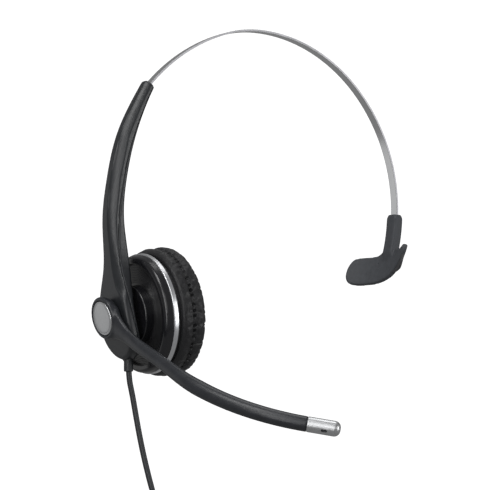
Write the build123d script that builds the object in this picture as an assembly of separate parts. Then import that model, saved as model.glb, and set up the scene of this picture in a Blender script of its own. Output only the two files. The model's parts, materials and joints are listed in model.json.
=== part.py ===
"""Corded single-ear office headset, in millimetres.

+X is the wearer's left, -Y the way the wearer faces, +Z up. The origin is the underside of the
steel headband at the crown of the head. The ear cup, its arm and the microphone boom are on the
wearer's right (-X); the T-shaped temple pad is on the left.
"""
from build123d import *
import math
import os

# Steel headband: a strip bent to one arc, its tail cranked into the arm
BAND_R = 80.5            # inside radius, over the head
BAND_T = 0.9
BAND_W = 4.6
BAND_MID = BAND_R + BAND_T / 2
BAND_END_DEG = -9.0      # where the strip stops inside the temple piece
SHOULDER_R = 62.0        # tighter arc where the band turns down towards the arm
SHOULDER_FROM = 91.0
SHOULDER_TO = 108.6
SIDE_R = 95.0            # flatter arc from there to the arm
CRANK_R = 9.0            # bend between the side arc and the tail

# Arm: a long gentle arc that slides along the band's tail
SLIDE_X = 70.7           # centre of the arm's arc, from the centre of the band's arc
SLIDE_Z = -23.5
TAIL_MID = 151.7         # radius of the tail's middle line about that centre
TAIL_END_DEG = 166.4
TRAVEL_DEG = 9.5         # 25 mm of height adjustment
THROAT_DEG = 155.0       # the narrow throat that keeps the stop block in
FIT = 0.15               # gap each side of a sliding or seated piece
SCREW_DEGS = (172.0, 183.0)
SCREW_TOP = 150.7        # where the screw holes end, short of the arm's outer face
SPLIT_R = 149.4          # the arm's two mouldings meet at this radius

# Corners of the arm's side view, as (x, z) from the centre of the band's arc, and its
# width at several heights, as (z, width)
ARM_OUTER = ((-62.7, 52.9), (-70.3, 39.6), (-76.3, 26.4), (-81.0, 6.4), (-82.8, -11.0), (-81.0, -33.0))
ARM_INNER = ((-59.0, 49.4), (-64.3, 38.8), (-69.0, 26.4), (-73.8, 6.4), (-75.3, -10.0), (-73.4, -33.0))
ARM_END_Z = -34.0        # edges above this height belong to the arm's rounded upper end
ARM_WIDTHS = ((49.0, 6.6), (20.0, 7.8), (-8.0, 8.7), (-22.0, 9.8), (-33.0, 13.0), (-43.0, 19.6))

# Pivot of the boom: centre of its silver cap, and how far the pivot leans
PIVOT_X = -84.5
PIVOT_Z = -55.9
PIVOT_LEAN = 12.2
HUB_R = 9.7
HUB_T = 5.0
ARM_HUB_R = 13.0
ARM_HUB_T = 5.2
CAP_R = 7.7
AXLE_R = 2.6
FLANGE_R = 4.2           # the axle's flange and its washer
ARM_FACE = HUB_T + 0.3   # depths along the pivot of the arm's outer and inner faces
ARM_BACK = ARM_FACE + ARM_HUB_T
STUD_R = 1.1

# Boom: straight run, then a bend in towards the mouth, then the microphone tip
BOOM_DROP = 27.0         # degrees below straight ahead
BOOM_RUN = 52.2
BOOM_BEND_R = 88.0
BOOM_BEND = 45.0
BOOM_ROOT_R = 3.7
BOOM_TIP_R = 3.25
TIP_LEN = 14.0
BOOM_END = BOOM_RUN + BOOM_BEND_R * math.radians(BOOM_BEND)
BOOM_DEPTH = HUB_T / 2
CORE_R = 0.75
CORE_SIDE = 0.9          # the core wire and the lead lie either side of the boom's middle
LEAD_R = 0.4
SPIGOT_R = 2.4
# Neck sections, as (distance from the pivot, half width, half depth)
NECK = ((7.0, 7.9, 2.3), (12.0, 5.5, 2.5), (18.0, 4.3, 3.0), (25.0, BOOM_ROOT_R, BOOM_ROOT_R))
PORT_AT = 7.4
PORT_L = 2.6
PORT_W = 1.3

# Ear cup, turned about an axis through the pivot cap's centre
CUP_LEAN = 6.4
BOSS_R = 13.2
BOSS_FACE = 14.8         # distances along the cup's axis from the pivot cap
DISC_FACE = 19.0
RIM_FACE = 17.2
RIM_R = 23.0
SHELL_R = 26.9
TRIM_FROM = 21.1
TRIM_TO = 23.6
TRIM_R = 27.2
BALL_AT = 17.9
BALL_R = 2.6
LINER_R = 3.25
PAD_FROM = 24.7
PAD_TO = 37.7
PAD_R = 29.1
PAD_HOLE_R = 13.5
DRIVER_R = 12.6

# Temple piece: a stem on the band's other end and a curved pad across the temple
STEM_TOP_DEG = -1.6
STEM_W = 7.0
STEM_T = 4.0
PAD_DEG = -21.2
TEMPLE_WRAP_R = 32.0
TEMPLE_HALF = 23.2
TEMPLE_H = 14.2
TEMPLE_T = 2.8
TEMPLE_CORNERS = (3.2, 7.2, 4.4, 7.6)    # front top, back top, back bottom, front bottom
TEMPLE_ROLL = 6.0
RIVET_DEGS = (-4.0, -7.0)
RIVET_R = 0.8
RIVET_HEAD_R = 1.4
RIVET_HEAD = 0.5

# Cord: 2.6 mm, limp, hanging, the unseen length in a tied coil above its plug
CORD_D = 2.6
CORD_LENGTH = 837.0
RELIEF_FROM = (-71.0, -0.5, -71.6)
RELIEF_R = 2.1
RELIEF_END = -79.4
COIL = (-50.0, -11.5, -166.0)
COIL_R = 5.5 * CORD_D    # middle of the turns
COIL_SIDE = 3 * CORD_D   # three turns wide and three deep
TIE_DEG = 58.0
# Corners of the cord's route above and below the coil, from the centre of the band's arc
DROP = (
    (-71.0, -0.5, -73.0), (-71.0, -0.5, -81.5), (-69.3, -1.2, -89.8), (-68.2, -2.4, -98.9), (-67.1, -4.0, -108.4),
    (-65.8, -5.8, -118.0), (-63.7, -8.2, -130.0), (-61.4, -10.4, -140.6), (-56.0, -11.3, -147.4),
    (-46.5, -11.5, -149.5),
)
TAIL = ((-33.9, -14.1, -160.8), (-31.6, -14.4, -168.0), (-30.8, -14.7, -176.0))
PLUG_W = 12.0
PLUG_H = 8.0
PLUG_BODY = 24.0
PLUG_TONGUE = 9.0

RING = Plane(origin=(0, 0, -BAND_R), x_dir=(1, 0, 0), z_dir=(0, -1, 0))
SLIDE = Plane(origin=(SLIDE_X, 0, SLIDE_Z - BAND_R), x_dir=(1, 0, 0), z_dir=(0, -1, 0))


def lean(degrees):
    """Inward direction, towards the head, raised by an angle."""
    return Vector(math.cos(math.radians(degrees)), 0, math.sin(math.radians(degrees)))


PIVOT = Vector(PIVOT_X, 0, PIVOT_Z - BAND_R)
# Local x runs forward, local z inward towards the head
HUB = Plane(origin=PIVOT, x_dir=(0, -1, 0), z_dir=lean(PIVOT_LEAN))
CUP = Plane(origin=PIVOT, x_dir=(0, -1, 0), z_dir=lean(CUP_LEAN))
BALL = CUP.from_local_coords(Vector(0, 0, BALL_AT))
STUD_RISE = HUB.to_local_coords(BALL).Y


def write(name, shape):
    """Write one node."""
    export_step(shape, f"parts/{name}.step")


def turned(corners, place, rounds=None):
    """Solid of revolution about a plane's z axis, from (radius, height) corners."""
    points = [(radius, 0, height) for radius, height in corners]
    if rounds is None:
        outline = Wire.make_polygon(points, close=True)
    else:
        outline = Wire(FilletPolyline(*points, radius=rounds, close=True).edges())
    return place.location * revolve(Face(outline), Axis.Z)


def round_bar(place, radius, start, length, x=0.0, y=0.0):
    """Cylinder along a plane's z axis."""
    bar = Cylinder(radius, length, align=(Align.CENTER, Align.CENTER, Align.MIN))
    return place.location * (Pos(x, y, start) * bar)


def arc_block(place, inner, outer, start, end, width):
    """Slice of a ring in the plane, centred on it across the width."""
    arcs = [CenterArc((0, 0), radius, start, end - start) for radius in (inner, outer)]
    sides = [Line(arcs[0] @ 0, arcs[1] @ 0), Line(arcs[0] @ 1, arcs[1] @ 1)]
    face = make_face([*arcs, *sides])
    return place.location * extrude(face, width / 2, both=True)


def ring_point(radius, degrees):
    """Point at a radius and angle about the centre of the band's arc, as (x, z)."""
    angle = math.radians(degrees)
    return radius * math.cos(angle), radius * math.sin(angle)


# ---------------------------------------------------------------- headband

def side_centre():
    """Centre of the flatter arc between the shoulder and the arm."""
    shoulder_x, shoulder_z = ring_point(BAND_MID - SHOULDER_R, SHOULDER_FROM)
    step_x, step_z = ring_point(SIDE_R - SHOULDER_R, SHOULDER_TO)
    return shoulder_x - step_x, shoulder_z - step_z


def crank_centre():
    """Centre of the crank bend, inside both the side arc and the tail arc."""
    side_x, side_z = side_centre()
    to_side = SIDE_R - CRANK_R
    to_slide = TAIL_MID - CRANK_R
    span = math.hypot(SLIDE_X - side_x, SLIDE_Z - side_z)
    along = (to_side ** 2 - to_slide ** 2 + span ** 2) / (2 * span)
    across = math.sqrt(to_side ** 2 - along ** 2)
    ux, uz = (SLIDE_X - side_x) / span, (SLIDE_Z - side_z) / span
    return side_x + ux * along - uz * across, side_z + uz * along + ux * across


def tail_start():
    """Angle about the tail's centre at which the crank ends."""
    cx, cz = crank_centre()
    return math.degrees(math.atan2(cz - SLIDE_Z, cx - SLIDE_X))


def band_profile(thickness):
    """Side view of the strip, as faces in the ring plane."""
    cx, cz = crank_centre()
    side_x, side_z = side_centre()
    side_end = math.degrees(math.atan2(cz - side_z, cx - side_x))
    shoulder = ring_point(BAND_MID - SHOULDER_R, SHOULDER_FROM)
    faces = []
    for centre, radius, start, end in (
        ((0, 0), BAND_MID, BAND_END_DEG, SHOULDER_FROM),
        (shoulder, SHOULDER_R, SHOULDER_FROM, SHOULDER_TO),
        ((side_x, side_z), SIDE_R, SHOULDER_TO, side_end),
        ((cx, cz), CRANK_R, side_end, tail_start()),
        ((SLIDE_X, SLIDE_Z), TAIL_MID, tail_start(), TAIL_END_DEG),
    ):
        arcs = [CenterArc(centre, radius + side * thickness / 2, start, end - start) for side in (-1, 1)]
        sides = [Line(arcs[0] @ 0, arcs[1] @ 0), Line(arcs[0] @ 1, arcs[1] @ 1)]
        faces.append(make_face([*arcs, *sides]))
    return faces


def headband():
    """The spring strip, one piece from the temple piece to the stop block."""
    pieces = [RING.location * extrude(face, BAND_W / 2, both=True) for face in band_profile(BAND_T)]
    strip = pieces[0]
    for piece in pieces[1:]:
        strip += piece
    for degrees in RIVET_DEGS:
        x, z = ring_point(BAND_MID, degrees)
        radial = Plane(origin=(x, 0, z - BAND_R), z_dir=(x, 0, z))
        strip -= round_bar(radial, RIVET_R + 0.03, -3, 6)
    return strip


def stop_block():
    """Block crimped on the tail's end, too thick to leave the arm's throat."""
    block = arc_block(SLIDE, TAIL_MID - 1.1, TAIL_MID + 1.1, TAIL_END_DEG - 1.5, TAIL_END_DEG + 0.3, BAND_W)
    slot = arc_block(SLIDE, TAIL_MID - BAND_T / 2, TAIL_MID + BAND_T / 2, TAIL_END_DEG - 3, TAIL_END_DEG, BAND_W + 1)
    return block - slot


# ---------------------------------------------------------------- temple piece

def temple_frame():
    """Plane on the pad: x front to back, y up along the temple, z outward."""
    x, z = ring_point(BAND_MID + 0.2, PAD_DEG)
    roll = math.radians(TEMPLE_ROLL)
    up = Vector(-z, 0, x).normalized()
    back = Vector(0, 1, 0)
    return Plane(
        origin=(x, 0, z - BAND_R),
        x_dir=back * math.cos(roll) - up * math.sin(roll),
        z_dir=(x, 0, z),
    )


def temple_plate(thickness, inset):
    """Curved plate wrapped round the temple; its outline leans, low at the back."""
    wrap = Plane(origin=(0, 0, -TEMPLE_WRAP_R), x_dir=(0, 0, 1), z_dir=(0, -1, 0))
    reach = math.degrees(math.asin(TEMPLE_HALF / TEMPLE_WRAP_R)) + 8
    shell = arc_block(
        wrap, TEMPLE_WRAP_R - thickness / 2, TEMPLE_WRAP_R + thickness / 2, -reach, reach, 2 * TEMPLE_H
    )
    length = TEMPLE_HALF - inset
    height = TEMPLE_H / 2 - inset
    corners = [(-length, height), (length, height), (length, -height), (2 - length, -height)]
    radii = [max(radius - inset, 1.0) for radius in TEMPLE_CORNERS]
    outline = Face(Wire(FilletPolyline(*corners, radius=radii, close=True).edges()))
    return shell & extrude(outline, 30, both=True)


def temple_stem(width, thickness, start, end):
    """Stem along the band's arc."""
    inner = BAND_MID + 0.2 - TEMPLE_T / 2
    return arc_block(RING, inner, inner + thickness, end, start, width)


def temple_parts():
    """Rubber temple pad moulded over a stiff insert, riveted to the strip."""
    place = temple_frame()
    pad = place.location * temple_plate(TEMPLE_T, 0.0)
    pad = fillet(pad.edges().filter_by(lambda e: e.length > 3), 0.9)
    stem = temple_stem(STEM_W, STEM_T, STEM_TOP_DEG, PAD_DEG + 3)
    stem = fillet(stem.edges(), 1.5)
    outer = pad + stem
    core = place.location * temple_plate(1.0, 4.0)
    core += arc_block(RING, BAND_MID + BAND_T / 2, BAND_MID + BAND_T / 2 + 0.8, PAD_DEG, STEM_TOP_DEG - 1.5, BAND_W)
    rivets = []
    for degrees in RIVET_DEGS:
        x, z = ring_point(BAND_MID, degrees)
        radial = Plane(origin=(x, 0, z - BAND_R), z_dir=(x, 0, z))
        shank = round_bar(radial, RIVET_R, -BAND_T / 2 - 0.1, BAND_T + 0.9)
        sag = RIVET_HEAD_R ** 2 / (2 * BAND_R) + 0.002
        head = round_bar(radial, RIVET_HEAD_R, -BAND_T / 2 - RIVET_HEAD - sag, RIVET_HEAD)
        rivets.append(shank + head)
        core -= round_bar(radial, RIVET_R + 0.03, -3, 6)
    return outer, core, rivets


# ---------------------------------------------------------------- arm

def hub_point(depth, rise):
    """Point of the arm's side view beside the pivot, as (x, z)."""
    point = HUB.from_local_coords(Vector(0, rise, depth))
    return point.X, point.Z + BAND_R


def hub_rise(depth, rise):
    """Arm side-view point about the slide centre, a distance along the arc from the pivot."""
    x0, z0 = hub_point(depth, 0)
    radius = math.hypot(x0 - SLIDE_X, z0 - SLIDE_Z)
    angle = math.atan2(z0 - SLIDE_Z, x0 - SLIDE_X) - rise / radius
    return SLIDE_X + radius * math.cos(angle), SLIDE_Z + radius * math.sin(angle)


def arm_side():
    """Side view of the whole arm, in the ring plane."""
    outer = Spline(*ARM_OUTER, hub_rise(ARM_FACE, 0), hub_rise(ARM_FACE, -14), hub_rise(ARM_FACE, -23))
    inner = Spline(*ARM_INNER, hub_rise(ARM_BACK, 0), hub_rise(ARM_BACK, -14), hub_rise(ARM_BACK, -23))
    face = make_face([outer, inner, Line(outer @ 0, inner @ 0), Line(outer @ 1, inner @ 1)])
    return RING.location * extrude(face, 20, both=True)


def arm_front():
    """Front outline of the arm, in the plane across the head."""
    centre = PIVOT_Z - 5.2
    arc = CenterArc((0, centre), ARM_HUB_R, 180, 180)
    left_points = [(-width / 2, z) for z, width in ARM_WIDTHS]
    right_points = [(width / 2, z) for z, width in ARM_WIDTHS]
    left = Spline(*left_points, arc @ 0, tangents=[(-0.06, -1), (0, -1)])
    right = Spline(*right_points, arc @ 1, tangents=[(0.06, -1), (0, -1)])
    above = ARM_WIDTHS[0][0] + 12
    cap = Polyline(left @ 0, (-3.0, above), (3.0, above), right @ 0)
    face = make_face([arc, left, right, cap])
    front = Plane(origin=(0, 0, -BAND_R), x_dir=(0, -1, 0), z_dir=(-1, 0, 0))
    return front.location * extrude(face, 120)


def arm_body():
    """The arm's outer form, before it is split and hollowed."""
    body = arm_side() & arm_front()
    body = body.solids()[0]
    long = [e for e in body.edges() if e.length > 60]
    outward = [e for e in long if e.center().X < -79.0]
    body = fillet(outward, 1.9)
    end = [e for e in body.edges() if e.center().Z > ARM_END_Z]
    return fillet(end, 1.2)


def arm_parts():
    """Outer and inner arm mouldings, hollow, split along the arm's side."""
    body = arm_body()
    outside = arc_block(SLIDE, SPLIT_R, 175, 140, 210, 60)
    # Slot for the strip's tail: a thin throat, then room for the stop block
    throat = arc_block(SLIDE, TAIL_MID - 0.6, TAIL_MID + 0.6, 148, THROAT_DEG, BAND_W + 2 * FIT)
    chamber = arc_block(
        SLIDE, TAIL_MID - 1.25, TAIL_MID + 1.25, THROAT_DEG, TAIL_END_DEG + 1.0, BAND_W + 2 * FIT
    )
    mouth = arc_block(SLIDE, TAIL_MID - 1.35, TAIL_MID + 0.6, 146, tail_start() + 0.4, BAND_W + 2 * FIT)
    spring_pocket = arc_block(SLIDE, SPLIT_R - 0.2, TAIL_MID - 1.2, 157.0, 164.0, BAND_W + 2 * FIT)
    duct = arc_block(SLIDE, SPLIT_R - 1.2, TAIL_MID - 0.6, 170.0, 188.0, 3.6)
    pivot_room = round_bar(HUB, 9.0, ARM_FACE + 1.4, ARM_HUB_T - 2.6)
    bottom_duct = arc_block(SLIDE, 149.6, 151.4, 192.0, 197.2, 4.4)
    bore = round_bar(HUB, AXLE_R + 0.05, 0, ARM_FACE + 3)
    relief_x, relief_y, relief_top = RELIEF_FROM
    relief = Plane(origin=(relief_x, relief_y, relief_top - BAND_R), z_dir=(0, 0, -1))
    boss = round_bar(relief, 3.2, -1.4, 3.6)
    boss = fillet(boss.edges(), 0.6)
    body = body + boss
    relief_hole = round_bar(relief, RELIEF_R + 0.02, -0.2, 8) + round_bar(relief, 2.6, -0.2, 1.22)
    hollow = throat + chamber + mouth + spring_pocket + duct + pivot_room + bottom_duct
    shell = body - hollow - relief_hole
    outer = (shell & outside) - bore
    inner = shell - outside
    stud_hole = round_bar(HUB, STUD_R, ARM_FACE, 10, y=STUD_RISE)
    inner -= stud_hole
    screws = []
    for degrees in SCREW_DEGS:
        x, z = ring_point(1, degrees)
        axis = Plane(origin=(SLIDE_X, 0, SLIDE_Z - BAND_R), z_dir=(x, 0, z))
        shank = round_bar(axis, 0.7, 147.4, SCREW_TOP - 147.4)
        head = round_bar(axis, 1.3, 147.0, 0.9)
        screws.append(shank + head)
        inner -= round_bar(axis, 0.9, 140, 14) + round_bar(axis, 1.35, 140, 7.9)
        outer -= round_bar(axis, 0.7, 140, SCREW_TOP - 140)
    return outer, inner, screws


def detent_spring():
    """Leaf spring that presses on the strip's tail and holds the arm's height."""
    leaf = arc_block(SLIDE, SPLIT_R + 0.15, SPLIT_R + 0.45, 157.3, 163.7, BAND_W - 0.4)
    bump = arc_block(SLIDE, SPLIT_R + 0.45, TAIL_MID - 1.3, 160.2, 160.8, BAND_W - 0.4)
    return leaf + bump


def ball_stud():
    """Ball on a short neck, with a threaded shank through the inner moulding."""
    seat = HUB.to_local_coords(BALL).Z
    shank = round_bar(HUB, STUD_R - 0.02, ARM_BACK - 2.2, 3, y=STUD_RISE)
    collar = round_bar(HUB, 2.3, ARM_BACK + 0.35, 0.8, y=STUD_RISE)
    neck = round_bar(HUB, 1.25, ARM_BACK, seat - ARM_BACK, y=STUD_RISE)
    ball = Pos(*BALL) * Sphere(BALL_R)
    return shank + collar + neck + ball


def ball_stud_nut():
    """Hexagonal nut inside the arm."""
    hexagon = RegularPolygon(2.5, 6)
    nut = extrude(hexagon, 0.9) - Cylinder(STUD_R, 6)
    return HUB.location * (Pos(0, STUD_RISE, ARM_BACK - 2.22) * nut)


def pivot_parts():
    """Hollow axle, its friction washer and its retaining ring."""
    axle = round_bar(HUB, AXLE_R, 1.6, ARM_FACE + 2.8 - 1.6) + round_bar(HUB, FLANGE_R, 1.6, 0.8)
    axle -= round_bar(HUB, 1.2, 0, 12)
    groove_at = ARM_FACE + 2.15
    groove = round_bar(HUB, AXLE_R + 1, groove_at, 0.4) - round_bar(HUB, AXLE_R - 0.4, groove_at, 0.4)
    axle -= groove
    clip = round_bar(HUB, 4.0, groove_at, 0.4) - round_bar(HUB, AXLE_R - 0.4, groove_at, 0.4)
    gap = HUB.location * (Pos(0, -3, groove_at) * Box(1.6, 6, 3))
    clip -= gap
    washer = round_bar(HUB, FLANGE_R, ARM_FACE + 1.45, 0.6) - round_bar(HUB, AXLE_R + 0.15, ARM_FACE, 3)
    return axle, clip, washer


def strain_relief():
    """Ribbed rubber sleeve where the cord leaves the arm."""
    x, y, top = RELIEF_FROM
    axis = Plane(origin=(x, y, top - BAND_R), z_dir=(0, 0, -1))
    length = top - RELIEF_END
    sleeve = turned(
        [(CORD_D / 2 + 0.02, 0), (2.58, 0), (2.58, 1.0), (RELIEF_R, 1.0), (RELIEF_R, length - 0.4),
         (RELIEF_R - 0.4, length), (CORD_D / 2 + 0.02, length)],
        axis,
    )
    return sleeve


# ---------------------------------------------------------------- boom

BOOM_DIR = Vector(math.cos(math.radians(BOOM_DROP)), math.sin(math.radians(BOOM_DROP)), 0)
BOOM_FORWARD = HUB.from_local_coords(BOOM_DIR) - PIVOT
# Local x along the boom's straight run, local y in towards the head
BOOM = Plane(origin=PIVOT, x_dir=BOOM_FORWARD, z_dir=BOOM_FORWARD.cross(HUB.z_dir))


def boom_station(distance):
    """Plane across the boom at a distance along it from the pivot."""
    bend_length = BOOM_BEND_R * math.radians(BOOM_BEND)
    if distance <= BOOM_RUN:
        x, y, turn = distance, BOOM_DEPTH, 0.0
    elif distance <= BOOM_RUN + bend_length:
        turn = (distance - BOOM_RUN) / BOOM_BEND_R
        x = BOOM_RUN + BOOM_BEND_R * math.sin(turn)
        y = BOOM_DEPTH + BOOM_BEND_R * (1 - math.cos(turn))
    else:
        turn = math.radians(BOOM_BEND)
        past = distance - BOOM_RUN - bend_length
        x = BOOM_RUN + BOOM_BEND_R * math.sin(turn) + past * math.cos(turn)
        y = BOOM_DEPTH + BOOM_BEND_R * (1 - math.cos(turn)) + past * math.sin(turn)
    origin = BOOM.from_local_coords(Vector(x, y, 0))
    ahead = BOOM.from_local_coords(Vector(math.cos(turn), math.sin(turn), 0)) - PIVOT
    return Plane(origin=origin, x_dir=BOOM.z_dir, z_dir=ahead)




def boom_core(radius, start, end, side):
    """Wire along the boom, off to one side of its middle line."""
    shift = BOOM.z_dir * side
    first = boom_station(start).origin + shift
    corner = boom_station(BOOM_RUN).origin + shift
    middle = boom_station((BOOM_RUN + end) / 2).origin + shift
    last = boom_station(end).origin + shift
    path = Wire([Edge.make_line(first, corner), Edge.make_three_point_arc(corner, middle, last)])
    return sweep(Plane(origin=first, z_dir=corner - first) * Circle(radius), path)


def boom_jacket():
    """Pivot ring, tapering neck and bent tube: one moulding."""
    ring = round_bar(HUB, HUB_R, 0.0, HUB_T)
    ring = fillet(ring.edges().filter_by(GeomType.CIRCLE), 0.9)
    sections = [boom_station(at) * Ellipse(width, depth) for at, width, depth in NECK]
    steps = 6
    for step in range(steps + 1):
        share = step / steps
        radius = BOOM_ROOT_R - 0.15 - (BOOM_ROOT_R - 0.15 - BOOM_TIP_R) * share
        sections.append(boom_station(BOOM_RUN + (BOOM_END - BOOM_RUN) * share) * Circle(radius))
    jacket = ring + loft(sections)
    jacket += round_bar(boom_station(BOOM_END), SPIGOT_R, -1, 3.0)
    jacket -= round_bar(HUB, CAP_R + 0.25, -1, 2.6)
    jacket -= round_bar(HUB, FLANGE_R + FIT, 1.0, 1.4)
    jacket -= round_bar(HUB, AXLE_R + 0.01, 0, HUB_T + 1)
    jacket -= boom_core(CORE_R + 0.01, 4.0, BOOM_END - 0.4, CORE_SIDE)
    jacket -= boom_core(LEAD_R + 0.01, 4.0, BOOM_END - 0.4, -CORE_SIDE)
    jacket -= round_bar(boom_station(BOOM_END), LEAD_R + 0.03, -0.6, 5, x=-CORE_SIDE)
    return jacket


def mic_parts():
    """Silver tip, microphone capsule and its rubber boot."""
    tip = boom_station(BOOM_END)
    start = 0.15
    shell = turned(
        [(0, start), (BOOM_TIP_R, start), (BOOM_TIP_R, TIP_LEN - 0.1), (0, TIP_LEN - 0.1)],
        tip, [0, 0.25, 2.6, 0],
    )
    shell -= round_bar(tip, SPIGOT_R + 0.02, -1, 3.2) + round_bar(tip, 2.75, 2.15, 9.0)
    port = Plane(origin=tip.from_local_coords(Vector(0, 0, PORT_AT)), x_dir=tip.z_dir, z_dir=-tip.y_dir)
    slot = port.location * extrude(SlotOverall(PORT_L, PORT_W), 5)
    shell -= slot
    back_port = Plane(origin=port.origin, x_dir=tip.z_dir, z_dir=-port.z_dir)
    shell -= back_port.location * extrude(SlotOverall(PORT_L, PORT_W), 5)
    capsule = round_bar(tip, 2.2, 5.4, 4.0)
    boot = round_bar(tip, 2.7, 4.4, 6.0) - round_bar(tip, 2.2, 5.4, 9)
    boot -= round_bar(tip, 0.9, 3, 4)
    boot -= port.location * extrude(SlotOverall(PORT_L, PORT_W), 5)
    return shell, capsule, boot


# ---------------------------------------------------------------- ear cup

def cup_parts():
    """Every piece of the ear cup, from the boss to the ear cushion."""
    parts = {}
    socket = Pos(*BALL) * Sphere(LINER_R + 0.05)
    back = DISC_FACE + 1.8
    housing = turned(
        [(0, BOSS_FACE), (BOSS_R, BOSS_FACE), (BOSS_R, DISC_FACE + 0.9), (RIM_R - 0.2, DISC_FACE + 0.9),
         (RIM_R - 0.2, RIM_FACE), (SHELL_R - 1.0, RIM_FACE), (SHELL_R, TRIM_FROM), (25.4, TRIM_FROM),
         (25.4, TRIM_TO), (24.0, TRIM_TO), (24.0, back), (11.4, back), (11.4, BALL_AT), (0, BALL_AT)],
        CUP,
        [0, 0.9, 0, 0, 0.5, 2.2, 0.3, 0, 0, 0, 0, 0, 0, 0],
    )
    mouth = turned([(0, BOSS_FACE - 1), (3.0, BOSS_FACE - 1), (2.15, BALL_AT - 2.4), (0, BALL_AT - 2.4)], CUP)
    housing -= socket + mouth
    posts = []
    for index in range(3):
        angle = math.radians(120 * index + 90)
        x, y = 8.0 * math.cos(angle), 8.0 * math.sin(angle)
        posts.append((x, y))
        housing -= round_bar(CUP, 0.7, BALL_AT - 2.2, 3, x=x, y=y)
    # Narrow rings turned into the recessed disc
    disc = turned([(BOSS_R + 0.1, DISC_FACE), (RIM_R - 0.3, DISC_FACE),
                   (RIM_R - 0.3, DISC_FACE + 0.9), (BOSS_R + 0.1, DISC_FACE + 0.9)], CUP)
    groove_count = 11
    for index in range(groove_count):
        radius = BOSS_R + 1.2 + index * 0.75
        disc -= turned([(radius, DISC_FACE - 0.1), (radius + 0.35, DISC_FACE - 0.1),
                        (radius + 0.17, DISC_FACE + 0.2)], CUP)
    trim = turned([(25.42, TRIM_FROM + 0.02), (TRIM_R, TRIM_FROM + 0.02), (TRIM_R, TRIM_TO), (25.42, TRIM_TO)],
                  CUP, [0, 0.5, 0.5, 0])
    retainer = turned([(0, BALL_AT + 0.02), (10.6, BALL_AT + 0.02), (10.6, BALL_AT + 1.5),
                       (5.0, BALL_AT + 1.5), (4.4, BALL_AT + 4.2), (0, BALL_AT + 4.2)], CUP)
    retainer -= socket
    screws = []
    for x, y in posts:
        retainer -= round_bar(CUP, 0.9, BALL_AT - 1, 6, x=x, y=y)
        screws.append(
            round_bar(CUP, 0.7, BALL_AT - 2.1, 3.6, x=x, y=y) + round_bar(CUP, 1.4, BALL_AT + 1.52, 0.8, x=x, y=y)
        )
    baffle = turned(
        [(4.0, 26.6), (11.8, 26.6), (11.8, 24.4), (DRIVER_R + 0.05, 24.4), (DRIVER_R + 0.05, TRIM_TO + 0.05),
         (26.1, TRIM_TO + 0.05), (26.1, PAD_FROM), (24.6, PAD_FROM), (24.6, 25.2), (13.4, 25.2),
         (13.4, 27.4), (4.0, 27.4)],
        CUP,
    )
    for ring_radius, count in ((6.2, 6), (9.2, 10)):
        for index in range(count):
            angle = 2 * math.pi * index / count
            baffle -= round_bar(CUP, 0.8, 26, 2, x=ring_radius * math.cos(angle), y=ring_radius * math.sin(angle))
    driver_frame = turned(
        [(6.2, 22.3), (8.0, 22.3), (DRIVER_R, 23.4), (DRIVER_R, 24.35), (11.6, 24.35), (11.6, 24.0),
         (7.6, 22.9), (6.2, 22.9)],
        CUP,
    )
    magnet = turned([(0, 22.3), (6.1, 22.3), (6.1, 23.9), (5.0, 23.9), (5.0, 23.0), (4.2, 23.0),
                     (4.2, 23.9), (0, 23.9)], CUP)
    coil = turned([(4.35, 23.2), (4.85, 23.2), (4.85, 24.55), (4.35, 24.55)], CUP)
    diaphragm = turned([(0, 25.3), (4.0, 24.57), (8.0, 25.2), (11.55, 24.45), (11.55, 24.6), (8.0, 25.35),
                        (4.0, 24.72), (0, 25.45)], CUP)
    mount = turned([(20.0, 25.22), (25.6, 25.22), (25.6, 26.4), (20.0, 26.4)], CUP)
    cushion = turned(
        [(PAD_HOLE_R, 27.6), (19.9, 26.6), (25.7, 26.6), (26.3, 26.3), (26.3, PAD_FROM + 0.05),
         (28.6, PAD_FROM + 0.05), (PAD_R, 31.0), (PAD_R, 34.5), (26.4, 37.0), (22.5, PAD_TO), (17.5, 36.6),
         (PAD_HOLE_R, 33.0)],
        CUP, [0.5, 0, 0, 0, 0, 1.5, 3, 3, 3, 3, 3, 3],
    )
    scrim = turned([(0, 27.5), (13.3, 27.5), (13.3, 28.7), (0, 28.7)], CUP)
    board = CUP.location * (Pos(0, 17.6, 21.7) * Box(9, 5.4, 0.9))
    parts["cup_housing"] = housing
    parts["cup_grooved_disc"] = disc
    parts["cup_trim_ring"] = trim
    parts["socket_retainer"] = retainer
    parts["socket_screws"] = Compound(screws)
    parts["speaker_baffle"] = baffle
    parts["speaker_frame"] = driver_frame
    parts["speaker_magnet"] = magnet
    parts["speaker_voice_coil"] = coil
    parts["speaker_diaphragm"] = diaphragm
    parts["cushion_mount_ring"] = mount
    parts["ear_cushion"] = cushion
    parts["speaker_scrim"] = scrim
    parts["cup_terminal_board"] = board
    return parts


def socket_liner():
    """Split plastic shell between the ball and the cup's socket."""
    liner = Sphere(LINER_R) - Sphere(BALL_R + 0.04)
    mouth = Pos(0, 0, -LINER_R) * Cone(LINER_R * 1.5, 0.5, LINER_R, align=(Align.CENTER, Align.CENTER, Align.MIN))
    rear = Pos(0, 0, LINER_R - 0.9) * Box(8, 8, 2, align=(Align.CENTER, Align.CENTER, Align.MIN))
    slit = Pos(0, LINER_R, 0) * Box(0.5, 2 * LINER_R, 9)
    place = Plane(origin=BALL, x_dir=(0, -1, 0), z_dir=CUP.z_dir)
    return place.location * (liner - mouth - rear - slit)


# ---------------------------------------------------------------- cord

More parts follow.
